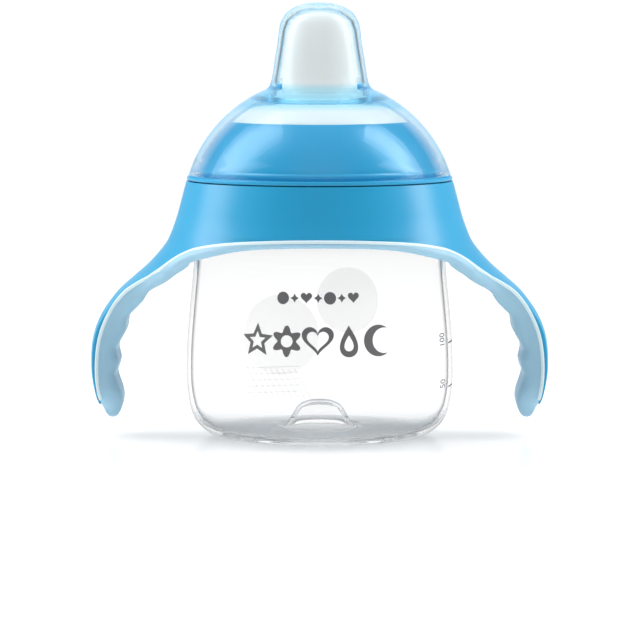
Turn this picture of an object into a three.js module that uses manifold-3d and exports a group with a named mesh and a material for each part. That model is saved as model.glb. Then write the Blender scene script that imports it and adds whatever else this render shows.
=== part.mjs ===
// Toddler's sippy cup: a clear cup, a screw ring that clamps a soft spout to its rim, a pair of
// handles keyed to that ring, a spill valve pushed up into the spout and a clear press-on travel cap.
// Millimetres, +Z up. The origin is the middle of the base, and the handles stand out along X.
import * as THREE from "three";
import { mergeVertices } from "three/addons/utils/BufferGeometryUtils.js";
import Module from "manifold-3d";

const wasm = await Module();
wasm.setup();

// ---- Driving dimensions ----
const FACETS = 48; // round a large turned piece
const SPOUT_FACETS = 40;
const SMALL_FACETS = 32; // round a valve piece
const GAP = 0.3; // between pieces that touch

const CUP_RADIUS = 37.5; // the widest part of the cup
const CUP_WALL = 1.25;
const CUP_SHOULDER_RADIUS = 35.1;
const CUP_SHOULDER_HEIGHT = 52.5; // where the wall turns in towards the neck
const CORNER_HEIGHT = 11; // of the round corner between wall and base
const FLOOR_HEIGHT = 2; // of the inside of the base
const NECK_RADIUS = 30.4;
const NECK_WALL = 1.5;
const NECK_HEIGHT = 57.8; // where the straight neck starts
const RIM_HEIGHT = 75;

const THREAD_PITCH = 5;
const THREAD_DEPTH = 1.4;
const THREAD_START = 61.5; // middle of the cup's thread at its lower end
const CUP_THREAD_TURNS = 1.25;
const RING_THREAD_TURNS = 1;
const RING_BORE_RADIUS = 32.2;

const RING_OUTER_RADIUS = 34.5;
const RING_BOTTOM = 59.1;
const LIP_RADIUS = 37.1; // the ring's lip, between the handles and the travel cap
const LIP_TOP = 72.9;
const LIP_BOTTOM = 71.9;
const DOME_CENTRE_HEIGHT = 60.7; // of the sphere that the ring's top follows
const DOME_RADIUS = 37.2;
const OPENING_RADIUS = 24.8; // the hole in the ring that the spout comes through
const KEYS = 6; // ribs that lock the handles to the ring

const SKIRT_TOP_RADIUS = 37.3;
const SKIRT_TOP = 71.6;
const SKIRT_WALL = 1.8;
const HANDLE_WIDTH = 20; // of a handle, halfway down
const HANDLE_TIP = 8.7; // height of a handle's lower end
const SEAM_HEIGHT = 57.5; // of the seam between shell and trim, at the front
const TRIM_HEIGHT = 1.9; // of the soft trim under that seam

const CAP_CENTRE_HEIGHT = 61.7; // of the sphere that the cap's shoulder follows
const CAP_RADIUS = 38.5;
const CAP_BOTTOM = 73.2;
const CAP_HEIGHT = 121.3;
const CROWN_RADIUS = 11.3; // of the cap's top, where it starts to round over
const CROWN_HEIGHT = 6.9;

const SPOUT_SEAT_HEIGHT = 92.5; // the flat round the foot of the spout
const SPOUT_TIP_HEIGHT = 118.7;

const VALVE_RADIUS = 10;
const VALVE_TOP = 90.6;

// ---- Materials ----
const plastic = (color, roughness, opacity = 1) =>
  new THREE.MeshStandardMaterial({ color, roughness, metalness: 0, opacity, transparent: opacity < 1 });
const clearPlastic = plastic(0xeef3f6, 0.08, 0.3);
const capPlastic = plastic(0xbfe6f7, 0.08, 0.4);
const bluePlastic = plastic(0x3fb2ea, 0.3);
const softGrip = plastic(0x9cc9ea, 0.6);
const silicone = plastic(0xe9e9e9, 0.45, 0.9);
const valvePlastic = plastic(0xf4f4f2, 0.4);

// ---- Shapes ----
const degrees = THREE.MathUtils.degToRad;

// The points of a smooth curve through a few [r, z] pairs.
function curve(pairs, divisions) {
  const spline = new THREE.SplineCurve(pairs.map(([r, z]) => new THREE.Vector2(r, z)));
  return spline.getPoints(divisions).map((p) => [p.x, p.y]);
}

// Points on an ellipse about (r, z), from one angle to another. Angle 0 points outward and 90 up.
function arc(r, z, radius, height, from, to, steps) {
  return Array.from({ length: steps + 1 }, (_, i) => {
    const a = degrees(from + ((to - from) * i) / steps);
    return [r + radius * Math.cos(a), z + height * Math.sin(a)];
  });
}

// Height of the point at radius r on a sphere that is centred on the axis.
const sphereHeight = (centreHeight, radius, r) => centreHeight + Math.sqrt(radius ** 2 - r ** 2);
const sphereRadius = (centreHeight, radius, z) => Math.sqrt(radius ** 2 - (z - centreHeight) ** 2);

// Angle above the horizontal, seen from a sphere's centre, of its point at height z.
const sphereAngle = (centreHeight, radius, z) =>
  THREE.MathUtils.radToDeg(Math.asin((z - centreHeight) / radius));

// A solid of the manifold library from a closed three.js geometry.
function solidOf(geometry) {
  const bare = geometry.index ? geometry.toNonIndexed() : geometry.clone();
  for (const name of Object.keys(bare.attributes)) if (name !== "position") bare.deleteAttribute(name);
  const merged = mergeVertices(bare, 1e-4);
  return new wasm.Manifold(
    new wasm.Mesh({
      numProp: 3,
      vertProperties: merged.attributes.position.array,
      triVerts: new Uint32Array(merged.index.array),
    }),
  );
}

// Turns a profile of [r, z] or [r, z, squeeze] about Z. A squeeze below 1 makes that ring oval, narrow along Y.
function turned(profile, facets = FACETS) {
  const geometry = new THREE.LatheGeometry(
    profile.map(([r, z]) => new THREE.Vector2(r, z)),
    facets,
  ).rotateX(Math.PI / 2);
  const position = geometry.attributes.position;
  for (let i = 0; i < position.count; i++)
    position.setY(i, position.getY(i) * (profile[i % profile.length][2] ?? 1));
  return solidOf(geometry);
}

// Closes a profile of a ring-shaped piece on itself.
const closed = (profile) => [...profile, profile[0]];

const shapeOf = (pairs) => new THREE.Shape(pairs.map(([a, b]) => new THREE.Vector2(a, b)));

// An outline in the XZ plane, drawn out to both sides along Y.
function drawnAlongY(outline, width) {
  const geometry = new THREE.ExtrudeGeometry(shapeOf(outline), { depth: width, bevelEnabled: false });
  return solidOf(geometry.rotateX(Math.PI / 2).translate(0, width / 2, 0));
}

// An outline in the YZ plane, drawn out along +X from the axis.
function drawnAlongX(outline, length) {
  const [x, y, z] = [0, 1, 2].map((axis) => new THREE.Vector3().setComponent(axis, 1));
  const geometry = new THREE.ExtrudeGeometry(shapeOf(outline), { depth: length, bevelEnabled: false });
  return solidOf(geometry.applyMatrix4(new THREE.Matrix4().makeBasis(y, z, x)));
}

function block(width, depth, height, x, y, z) {
  return solidOf(new THREE.BoxGeometry(width, depth, height).translate(x, y, z));
}

function rod(radius, bottom, top, x, y, facets = 12) {
  const geometry = new THREE.CylinderGeometry(radius, radius, top - bottom, facets).rotateX(Math.PI / 2);
  return solidOf(geometry.translate(x, y, (top + bottom) / 2));
}

const joined = (solids) => solids.reduce((all, solid) => all.add(solid));
const mirroredX = (solid) => solid.mirror([1, 0, 0]);

// Copies of a solid, evenly spaced about Z.
const roundAbout = (solid, count, first = 0) =>
  Array.from({ length: count }, (_, i) => solid.rotate([0, 0, first + (360 * i) / count]));

// A right-handed thread ridge. Its root is sunk into the wall at rootRadius, and it tapers away at both ends.
function threadRidge(rootRadius, tipRadius, middleHeight, startTurn, turns) {
  const sunk = 0.4;
  const rootHalf = 1.1;
  const tipHalf = 0.6;
  const out = Math.sign(tipRadius - rootRadius);
  const steps = Math.round(turns * FACETS);
  const positions = [];
  const faces = [];
  for (let i = 0; i <= steps; i++) {
    const angle = 2 * Math.PI * (startTurn + (turns * i) / steps);
    const height = middleHeight + (THREAD_PITCH * angle) / (2 * Math.PI);
    const taper = Math.min(1, (1 + i) / 4, (1 + steps - i) / 4);
    const tip = rootRadius + (tipRadius - rootRadius) * taper;
    const root = rootRadius - out * sunk;
    const section = [
      [root, -rootHalf],
      [tip, -tipHalf],
      [tip, tipHalf],
      [root, rootHalf],
    ];
    for (const [r, z] of section) positions.push(r * Math.cos(angle), r * Math.sin(angle), height + z);
    if (i === steps) continue;
    for (let k = 0; k < 4; k++) {
      const [a, b] = [4 * i + k, 4 * i + ((k + 1) % 4)];
      faces.push([a, a + 4, b], [b, a + 4, b + 4]);
    }
  }
  const last = 4 * steps;
  faces.push([0, 1, 2], [0, 2, 3], [last, last + 2, last + 1], [last, last + 3, last + 2]);
  const geometry = new THREE.BufferGeometry();
  geometry.setAttribute("position", new THREE.Float32BufferAttribute(positions, 3));
  geometry.setIndex(faces.flatMap(([a, b, c]) => (out > 0 ? [a, b, c] : [a, c, b])));
  return solidOf(geometry);
}

function meshOf(name, solid, material) {
  const { vertProperties, triVerts, numProp } = solid.getMesh();
  const geometry = new THREE.BufferGeometry();
  const buffer = new THREE.InterleavedBuffer(vertProperties, numProp);
  geometry.setAttribute("position", new THREE.InterleavedBufferAttribute(buffer, 3, 0));
  geometry.setIndex(new THREE.BufferAttribute(triVerts, 1));
  const flat = geometry.toNonIndexed();
  flat.computeVertexNormals();
  const mesh = new THREE.Mesh(flat, material);
  mesh.name = name;
  return mesh;
}

// ---- Cup: one clear moulding with a raised dimple in its base and a threaded neck ----
function cupBody() {
  const baseRing = CUP_RADIUS - CORNER_HEIGHT;
  const outerCorner = CORNER_HEIGHT - 0.6; // the wall still swells by 0.6 above the corner
  const innerCorner = CORNER_HEIGHT - FLOOR_HEIGHT;
  const widest = 19; // height of the widest part
  const inside = CUP_RADIUS - CUP_WALL;
  const shell = turned([
    [0, 8.4],
    [4.2, 7.8],
    [6.2, 5.6],
    [7.8, 2.2],
    [12, 0.8],
    [baseRing - 5.5, 0.6],
    [baseRing - 4.5, 0],
    ...arc(baseRing, CORNER_HEIGHT, outerCorner, CORNER_HEIGHT, -90, 0, 6),
    [CUP_RADIUS, widest],
    [36.7, 34],
    [35.4, 47],
    [CUP_SHOULDER_RADIUS, CUP_SHOULDER_HEIGHT],
    ...arc(CUP_SHOULDER_RADIUS - 4, CUP_SHOULDER_HEIGHT, 4, 4.4, 30, 90, 3),
    [NECK_RADIUS, NECK_HEIGHT],
    [NECK_RADIUS, RIM_HEIGHT - 0.4],
    [NECK_RADIUS - 0.4, RIM_HEIGHT],
    [NECK_RADIUS - NECK_WALL, RIM_HEIGHT],
    [NECK_RADIUS - NECK_WALL, NECK_HEIGHT - 2.4],
    [CUP_SHOULDER_RADIUS - CUP_WALL - 0.8, CUP_SHOULDER_HEIGHT + 1],
    [CUP_SHOULDER_RADIUS - CUP_WALL, CUP_SHOULDER_HEIGHT - 2],
    [35.4 - CUP_WALL, 47],
    [36.7 - CUP_WALL, 34],
    [inside, widest],
    ...arc(inside - 0.6 - innerCorner, CORNER_HEIGHT, innerCorner, innerCorner, 0, -90, 5),
    [12.5, 2.5],
    [9.2, 3.6],
    [7.4, 6.4],
    [5, 9.2],
    [0, 9.9],
  ]);
  const ridge = threadRidge(NECK_RADIUS, NECK_RADIUS + THREAD_DEPTH, THREAD_START, 0, CUP_THREAD_TURNS);
  return shell.add(ridge);
}

// ---- Screw ring: a threaded skirt, a lip that the cap stands on, and a domed top with the spout's opening ----
function ringTeeth() {
  const middle = (RING_OUTER_RADIUS + 36) / 2;
  const pair = [-1, 1].map((side) => block(2.2, 1.2, 6, middle, side * 2.1, 63.4));
  return roundAbout(joined(pair), KEYS, 30);
}

function screwRing() {
  const bead = 34.9;
  const domeFoot = 75.2;
  const ledge = 77;
  const openingTop = sphereHeight(DOME_CENTRE_HEIGHT, DOME_RADIUS, OPENING_RADIUS + 1.4);
  const shell = turned(
    closed([
      [RING_BORE_RADIUS, RING_BOTTOM],
      [RING_OUTER_RADIUS, RING_BOTTOM],
      [RING_OUTER_RADIUS, LIP_BOTTOM],
      [LIP_RADIUS, LIP_BOTTOM],
      [LIP_RADIUS, LIP_TOP],
      [RING_OUTER_RADIUS, LIP_TOP],
      [bead, LIP_TOP + 0.7],
      [bead, LIP_TOP + 1.4],
      ...arc(
        0,
        DOME_CENTRE_HEIGHT,
        DOME_RADIUS,
        DOME_RADIUS,
        sphereAngle(DOME_CENTRE_HEIGHT, DOME_RADIUS, domeFoot),
        sphereAngle(DOME_CENTRE_HEIGHT, DOME_RADIUS, openingTop),
        5,
      ),
      [OPENING_RADIUS + 0.5, openingTop + 0.4],
      [OPENING_RADIUS, openingTop],
      [OPENING_RADIUS, openingTop - 1.6],
      [27.6, 81.6],
      [29.6, ledge],
      [RING_BORE_RADIUS, ledge],
    ]),
  );
  const ringThread = threadRidge(
    RING_BORE_RADIUS,
    RING_BORE_RADIUS - THREAD_DEPTH,
    THREAD_START - THREAD_PITCH / 2,
    CUP_THREAD_TURNS - RING_THREAD_TURNS,
    RING_THREAD_TURNS,
  );
  return joined([shell, ringThread, ...ringTeeth()]);
}

// ---- Handles: a flared skirt cut away at the front and back, which leaves a strap on each side ----
// Outside of the skirt and of the handle that grows out of it, from the top down.
const OUTER_LINE = [
  [SKIRT_TOP_RADIUS, SKIRT_TOP],
  ...curve(
    [
      [39, 65.6],
      [40.5, 59.8],
      [42.3, 55.4],
      [45.8, 51],
      [52.1, 44.8],
      [58.8, 38],
      [62.4, 31],
      [64.2, 22.5],
      [63.7, 14.5],
      [61.9, HANDLE_TIP],
    ],
    18,
  ),
];

// The seam between blue shell and soft trim: along the skirt from the middle, then down a handle.
const SEAM = curve(
  [
    [0, SEAM_HEIGHT],
    [13, 57.2],
    [22, 56.6],
    [29, 55.6],
    [34, 54.2],
    [38, 52.2],
    [42.8, 49.2],
    [47.1, 46.4],
    [53.9, 42],
    [58.5, 36.2],
    [61.4, 29.4],
    [62.6, 20],
    [62.3, 13.5],
    [61.5, HANDLE_TIP],
  ],
  24,
);
const STRAP_ROOT = 37; // how close to the axis a handle is solid right through

// A line moved towards its right-hand side.
function offset(line, distance) {
  return line.map(([x, z], i) => {
    const [a, b] = [line[Math.max(i - 1, 0)], line[Math.min(i + 1, line.length - 1)]];
    const length = Math.hypot(b[0] - a[0], b[1] - a[1]);
    return [x + ((b[1] - a[1]) / length) * distance(x), z - ((b[0] - a[0]) / length) * distance(x)];
  });
}

// Everything under a line that runs from the middle to a handle's tip, on both sides of the middle.
function under(line) {
  const left = line.slice(1).map(([x, z]) => [-x, z]);
  const [x, z] = line.at(-1);
  return drawnAlongY([...left.reverse(), ...line, [x, z - 20], [-x, z - 20]], 120);
}

// The solid inside the outer line, and below it straight down past the handles' tips.
function flaredSolid() {
  const upward = OUTER_LINE.slice().reverse();
  const [tipRadius] = upward[0];
  return turned([[0, 0], [tipRadius, 0], ...upward, [0, SKIRT_TOP]]);
}

// The wall of that solid, from the skirt's top to below the seam.
function flaredWall(thickness) {
  const wall = OUTER_LINE.slice(0, 13);
  return turned(closed([...wall.slice().reverse(), ...wall.map(([r, z]) => [r - thickness, z])]));
}

// The side view of the handles, which narrows the skirt to a strap with a round end. The soft trim
// stands out past the shell by rim, and by more where the skirt flares into the handle.
function sideView(rim, tip) {
  const halfWidth = HANDLE_WIDTH / 2;
  const tipHeight = 7;
  const shellSide = curve(
    [
      [48, 56.5],
      [34, 54.6],
      [27, 52.9],
      [22, 50.6],
      [18, 47.8],
      [14.6, 44.8],
      [12.4, 41],
      [halfWidth + 0.8, 35],
      [halfWidth, 25],
      [halfWidth - 0.5, tip + tipHeight],
    ],
    12,
  );
  const flare = (y) => rim * (1 + 6 * THREE.MathUtils.smoothstep(y, 12, 26));
  const side = offset(shellSide, (y) => -flare(y));
  const end = arc(0, tip + tipHeight, halfWidth - 0.5 + rim, tipHeight, 0, -180, 8);
  const mirrored = side.map(([y, z]) => [-y, z]).reverse();
  const outline = [[48, 74], ...side, ...end.slice(1, -1), ...mirrored, [-48, 74]];
  return drawnAlongX(outline, 140).translate([-70, 0, 0]);
}

function handleFrame() {
  const strapLine = SEAM.filter(([x]) => x > STRAP_ROOT);
  const strap = drawnAlongY([...strapLine, [70, 6], [70, 58.4], [39.2, 58.4]], 50);
  const straps = strap.add(mirroredX(strap)).intersect(flaredSolid());
  const skirt = flaredWall(SKIRT_WALL).subtract(under(SEAM));
  const bore = RING_BORE_RADIUS + 0.2;
  const floorRing = turned(
    closed([
      [bore, 57.7],
      [39.9, 57.7],
      [39.5, 58.8],
      [bore, 58.8],
    ]),
  );
  const rib = block(5, 1.8, 6, 37.4, 0, 61.4).subtract(rod(34.9, 55, 70, 0, 0, FACETS));
  const ribs = roundAbout(rib, KEYS, 30).map((one) => one.intersect(flaredSolid()));
  const shell = skirt.add(straps).intersect(sideView(0, HANDLE_TIP));
  return joined([shell, floorRing, ...ribs]);
}

// ---- Soft grip: one rubbery overmoulding, a trim under the skirt that grows into a finger pad on each handle ----
const FINGER_LINE = curve(
  [
    [36.9, 48.6],
    [41.9, 44.9],
    [46.9, 41.6],
    [49.3, 38.6],
    [51.4, 35.8],
    [53.6, 33.4],
    [54.2, 31],
    [54.8, 28.6],
    [56.7, 24.8],
    [56, 21.4],
    [57, 17.8],
    [55.4, 13],
    [55.4, 8.8],
    [57, 5.4],
    [59.2, 4.9],
    [60.9, HANDLE_TIP - 0.4],
  ],
  38,
);

function softGripTrim() {
  const top = offset(SEAM, () => GAP);
  const bottom = offset(SEAM, (x) => TRIM_HEIGHT + 1.4 * Math.min(1, x / 37) ** 4);
  const trim = flaredWall(SKIRT_WALL + 0.7).intersect(under(top).subtract(under(bottom)));
  const padTop = top.filter(([x, z]) => x > STRAP_ROOT && z > HANDLE_TIP).reverse();
  const pad = drawnAlongY([...FINGER_LINE, ...padTop], 60);
  const pads = pad.add(mirroredX(pad)).intersect(flaredSolid());
  return trim.add(pads).intersect(sideView(0.4, 4.9));
}

// ---- Spout: one silicone moulding with a clamping flange, a domed foot, an oval mouthpiece and a valve socket ----
function spout() {
  const passage = [
    [7.9, 107, 0.6],
    [8.7, 98, 0.68],
    [9.2, 94, 0.8],
  ];
  const body = turned(
    closed([
      [28.4, RIM_HEIGHT + GAP],
      [31.8, RIM_HEIGHT + GAP],
      [31.8, 76.7],
      [29.3, 76.7],
      [27.3, 81.4],
      [OPENING_RADIUS - GAP, 85.3],
      [OPENING_RADIUS - GAP, 87.9],
      [21.6, 90.4],
      [18.2, 92.2],
      [17.4, SPOUT_SEAT_HEIGHT],
      [12.2, SPOUT_SEAT_HEIGHT, 0.96],
      [10.8, 93.9, 0.8],
      [10.3, 98, 0.71],
      [9.3, 107, 0.66],
      [8.4, 113, 0.62],
      [7.3, 116.2, 0.62],
      [5, 118.2, 0.64],
      [2, SPOUT_TIP_HEIGHT, 0.7],
      [2, SPOUT_TIP_HEIGHT - 1.4, 0.7],
      [5, 116.2, 0.56],
      [6.8, 112.6, 0.56],
      ...passage,
      [VALVE_RADIUS + GAP, 91.2],
      [VALVE_RADIUS + GAP, 84.2],
      [VALVE_RADIUS + 1.9, 84.2],
      [VALVE_RADIUS + 1.9, 90.8],
      [17.2, 90.8],
      [22.9, 87.2],
      [22.9, 85],
      [25.6, 81],
      [27.6, 76.7],
    ]),
    SPOUT_FACETS,
  );
  const tip = rod(2.6, SPOUT_TIP_HEIGHT - 1.3, SPOUT_TIP_HEIGHT - 0.1, 0, 0, 24);
  const holes = [-1, 1].map((side) => rod(0.45, SPOUT_TIP_HEIGHT - 3, SPOUT_TIP_HEIGHT + 1, 1.5 * side, 0, 10));
  return joined([body, tip]).subtract(joined(holes));
}

// ---- Valve: a hard housing, a slit silicone diaphragm and a push-in holder, all held in the spout's socket ----
function valveHousing() {
  const shell = turned(
    [
      [0, 89.2],
      [VALVE_RADIUS - 1.4, 89.2],
      [VALVE_RADIUS - 1.4, 82.6],
      [12.6, 82.6],
      [12.6, 83.9],
      [VALVE_RADIUS, 83.9],
      [VALVE_RADIUS, VALVE_TOP - 0.6],
      [VALVE_RADIUS - 0.6, VALVE_TOP],
      [0, VALVE_TOP],
    ],
    SMALL_FACETS,
  );
  const port = rod(1.3, 88, 92, 5, 0);
  return shell.subtract(joined(roundAbout(port, 6)));
}

function valveDiaphragm() {
  const disc = turned(
    [
      [0, 87.3],
      [6.6, 87.3],
      [6.9, 86.6],
      [8.3, 86.6],
      [8.3, 88.9],
      [6.9, 88.9],
      [6.6, 88],
      [0, 88],
    ],
    SMALL_FACETS,
  );
  const slit = block(7, 0.3, 3, 0, 0, 87.6);
  return disc.subtract(slit.add(slit.rotate([0, 0, 90])));
}

function valveHolder() {
  const shell = turned(
    [
      [0, 81],
      [11.5, 81],
      [11.5, 82.3],
      [8.3, 82.3],
      [8.3, 86.3],
      [6.9, 86.3],
      [6.9, 82.3],
      [0, 82.3],
    ],
    SMALL_FACETS,
  );
  const port = rod(1.1, 80, 83, 4.4, 0);
  const pullTab = block(9, 1.6, 3.6, 0, 0, 79.4);
  return shell.subtract(joined(roundAbout(port, 6, 30))).add(pullTab);
}

// ---- Travel cap: a clear domed shell with a tall cover for the spout and a thick collar that seals on its foot ----
function travelCap() {
  const wall = 1.3;
  const collarOuter = 17.6;
  const collarInner = 12.8;
  const collarBottom = SPOUT_SEAT_HEIGHT + GAP;
  const insideCentre = DOME_CENTRE_HEIGHT;
  const insideRadius = DOME_RADIUS + 0.3;
  const shoulder = sphereHeight(CAP_CENTRE_HEIGHT, CAP_RADIUS, 15.6);
  const crownBase = CAP_HEIGHT - CROWN_HEIGHT;
  return turned([
    [0, CAP_HEIGHT - 2],
    ...arc(0, crownBase - 0.6, CROWN_RADIUS - wall, CROWN_HEIGHT - 1.4, 88, 0, 4),
    [collarInner, collarBottom + 3.2],
    [collarInner, collarBottom],
    [collarOuter, collarBottom],
    ...arc(
      0,
      insideCentre,
      insideRadius,
      insideRadius,
      sphereAngle(insideCentre, insideRadius, 93.6),
      sphereAngle(insideCentre, insideRadius, CAP_BOTTOM + 1.8),
      6,
    ),
    [sphereRadius(insideCentre, insideRadius, CAP_BOTTOM + 1.8) + 0.4, CAP_BOTTOM + 1.4],
    [35.4, CAP_BOTTOM],
    ...arc(
      0,
      CAP_CENTRE_HEIGHT,
      CAP_RADIUS,
      CAP_RADIUS,
      sphereAngle(CAP_CENTRE_HEIGHT, CAP_RADIUS, CAP_BOTTOM),
      sphereAngle(CAP_CENTRE_HEIGHT, CAP_RADIUS, shoulder),
      7,
    ),
    [14.2, 97.7],
    [13.7, 98.9],
    ...arc(0, crownBase, CROWN_RADIUS, CROWN_HEIGHT, 0, 90, 5),
  ]);
}

// ---- Assembly ----
const sippyCup = new THREE.Group();
sippyCup.add(
  meshOf("cup_body", cupBody(), clearPlastic),
  meshOf("screw_ring", screwRing(), bluePlastic),
  meshOf("handle_frame", handleFrame(), bluePlastic),
  meshOf("soft_grip_trim", softGripTrim(), softGrip),
  meshOf("soft_spout", spout(), silicone),
  meshOf("valve_housing", valveHousing(), valvePlastic),
  meshOf("valve_diaphragm", valveDiaphragm(), silicone),
  meshOf("valve_holder", valveHolder(), valvePlastic),
  meshOf("travel_cap", travelCap(), capPlastic),
);

export default sippyCup;
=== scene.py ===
import bmesh
import bpy
import math
from mathutils import Matrix, Vector


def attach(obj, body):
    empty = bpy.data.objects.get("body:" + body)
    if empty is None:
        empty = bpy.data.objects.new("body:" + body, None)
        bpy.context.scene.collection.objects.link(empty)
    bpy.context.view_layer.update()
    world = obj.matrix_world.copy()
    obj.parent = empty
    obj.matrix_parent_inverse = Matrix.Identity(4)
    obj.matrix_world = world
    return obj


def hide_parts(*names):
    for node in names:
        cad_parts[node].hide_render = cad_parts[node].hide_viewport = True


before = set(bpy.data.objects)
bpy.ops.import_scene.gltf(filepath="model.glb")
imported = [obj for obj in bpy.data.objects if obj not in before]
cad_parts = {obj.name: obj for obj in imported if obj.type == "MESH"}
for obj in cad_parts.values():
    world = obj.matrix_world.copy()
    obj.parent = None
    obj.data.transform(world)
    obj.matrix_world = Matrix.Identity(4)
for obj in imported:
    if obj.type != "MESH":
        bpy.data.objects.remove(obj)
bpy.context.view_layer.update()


# ---- Cup ----
# A clear polypropylene cup, injection moulded in one piece with a threaded neck. Its base has a
# raised middle and stands on a narrow ring. The blue ring and the handles hide its neck.
mm = 0.001


def curved(points, steps=6):
    """A smooth line through the points."""
    line = []
    for i in range(len(points) - 1):
        a = Vector(points[max(i - 1, 0)])
        b = Vector(points[i])
        c = Vector(points[i + 1])
        d = Vector(points[min(i + 2, len(points) - 1)])
        for k in range(steps):
            t = k / steps
            bend = 2 * a - 5 * b + 4 * c - d
            twist = 3 * b - 3 * c + d - a
            line.append(0.5 * (2 * b + (c - a) * t + bend * t**2 + twist * t**3))
    return [tuple(p) for p in line] + [tuple(points[-1])]


def rounded(outline):
    """The outline in mm with each corner that gives a third value rounded off by about that radius."""
    points = []
    for i, corner in enumerate(outline):
        here = Vector(corner[:2])
        if len(corner) < 3:
            points.append(here)
            continue
        back = Vector(outline[i - 1][:2]) - here
        on = Vector(outline[(i + 1) % len(outline)][:2]) - here
        start = here + back.normalized() * min(corner[2], back.length * 0.48)
        end = here + on.normalized() * min(corner[2], on.length * 0.48)
        for k in range(6):
            t = k / 5
            points.append(start * (1 - t) ** 2 + here * 2 * t * (1 - t) + end * t**2)
    return points


def solid(name, points, faces):
    """A closed, smooth piece from points in mm."""
    mesh = bpy.data.meshes.new(name)
    mesh.from_pydata([Vector(p) * mm for p in points], [], faces)
    work = bmesh.new()
    work.from_mesh(mesh)
    bmesh.ops.remove_doubles(work, verts=work.verts, dist=2e-6)
    bmesh.ops.dissolve_degenerate(work, edges=work.edges, dist=1e-6)
    bmesh.ops.recalc_face_normals(work, faces=work.faces)
    work.to_mesh(mesh)
    work.free()
    mesh.shade_smooth()
    mesh.set_sharp_from_angle(angle=math.radians(42))
    piece = bpy.data.objects.new(name, mesh)
    bpy.context.scene.collection.objects.link(piece)
    return piece


def turned(name, outline, facets=160, shape=None):
    """A piece turned about Z. Its outline, in mm, ends on the axis at both ends or closes on itself.
    shape(r, z, angle) may return another radius, or a radius and how far Y is squeezed."""
    outline = rounded(outline)
    points = []
    faces = []
    for r, z in outline:
        for k in range(facets):
            angle = 2 * math.pi * k / facets
            wanted = shape(r, z, angle) if shape and r > 0.01 else r
            radius, squeeze = wanted if isinstance(wanted, tuple) else (wanted, 1)
            points.append((radius * math.cos(angle), radius * math.sin(angle) * squeeze, z))
    rings = len(outline)
    on_axis = outline[0].x < 0.01 and outline[-1].x < 0.01
    for i in range(rings - 1 if on_axis else rings):
        for k in range(facets):
            a, b = i * facets, (i + 1) % rings * facets
            on = (k + 1) % facets
            faces.append((a + k, a + on, b + on, b + k))
    return solid(name, points, faces)


def ease(low, high, value):
    """0 below low, 1 above high, and a smooth rise between them."""
    t = min(max((value - low) / (high - low), 0), 1)
    return t * t * (3 - 2 * t)


def ridge(angle, z, start, turns, lowest, pitch=5):
    """How much of a thread's ridge stands at an angle and a height: 0 for none, 1 for all of it."""
    most = 0
    for turn in range(4):
        along = angle / (2 * math.pi) + turn
        off = abs(z - lowest - pitch * along)
        lead_in = ease(start - 0.02, start + 0.06, along)
        run_out = 1 - ease(start + turns - 0.06, start + turns + 0.02, along)
        most = max(most, (1 - ease(0.5, 1.15, off)) * (lead_in * run_out))
    return most


def shader(name, **sockets):
    """A material and its principled shader, with the sockets given by name set."""
    material = bpy.data.materials.new(name)
    material.use_nodes = True
    principled = material.node_tree.nodes["Principled BSDF"]
    for socket, value in sockets.items():
        principled.inputs[socket.replace("_", " ")].default_value = value
    return material, principled


def grain(material, principled, size, bump, roughness, stretch=(1, 1, 1)):
    """Fine unevenness: noise of that size in mm moves the roughness between two values and bumps
    the surface."""
    nodes, links = material.node_tree.nodes, material.node_tree.links
    place = nodes.new("ShaderNodeTexCoord")
    scale = nodes.new("ShaderNodeMapping")
    scale.inputs["Scale"].default_value = [s / (size * mm) for s in stretch]
    noise = nodes.new("ShaderNodeTexNoise")
    noise.inputs["Scale"].default_value = 1
    noise.inputs["Detail"].default_value = 3
    spread = nodes.new("ShaderNodeMapRange")
    spread.inputs["To Min"].default_value, spread.inputs["To Max"].default_value = roughness
    raised = nodes.new("ShaderNodeBump")
    raised.inputs["Strength"].default_value = bump
    raised.inputs["Distance"].default_value = 0.05 * mm
    links.new(place.outputs["Object"], scale.inputs["Vector"])
    links.new(scale.outputs["Vector"], noise.inputs["Vector"])
    links.new(noise.outputs["Fac"], spread.inputs["Value"])
    links.new(noise.outputs["Fac"], raised.inputs["Height"])
    links.new(spread.outputs["Result"], principled.inputs["Roughness"])
    links.new(raised.outputs["Normal"], principled.inputs["Normal"])


def let_lamps_through(material, principled, shade):
    """Lamps and soft light reach what is behind the clear plastic, a little tinted."""
    nodes, links = material.node_tree.nodes, material.node_tree.links
    rays = nodes.new("ShaderNodeLightPath")
    either = nodes.new("ShaderNodeMath")
    either.operation = "MAXIMUM"
    open_air = nodes.new("ShaderNodeBsdfTransparent")
    open_air.inputs["Color"].default_value = (*shade, 1)
    choice = nodes.new("ShaderNodeMixShader")
    links.new(rays.outputs["Is Shadow Ray"], either.inputs[0])
    links.new(rays.outputs["Is Diffuse Ray"], either.inputs[1])
    links.new(either.outputs["Value"], choice.inputs["Fac"])
    links.new(principled.outputs["BSDF"], choice.inputs[1])
    links.new(open_air.outputs["BSDF"], choice.inputs[2])
    links.new(choice.outputs["Shader"], nodes["Material Output"].inputs["Surface"])


def fit(piece, material, body, slot, *nodes):
    """Gives a piece its material, its body and the nodes it stands for. The slot is not used."""
    piece.data.materials.append(material)
    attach(piece, body)
    if nodes:
        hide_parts(*nodes)


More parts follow.
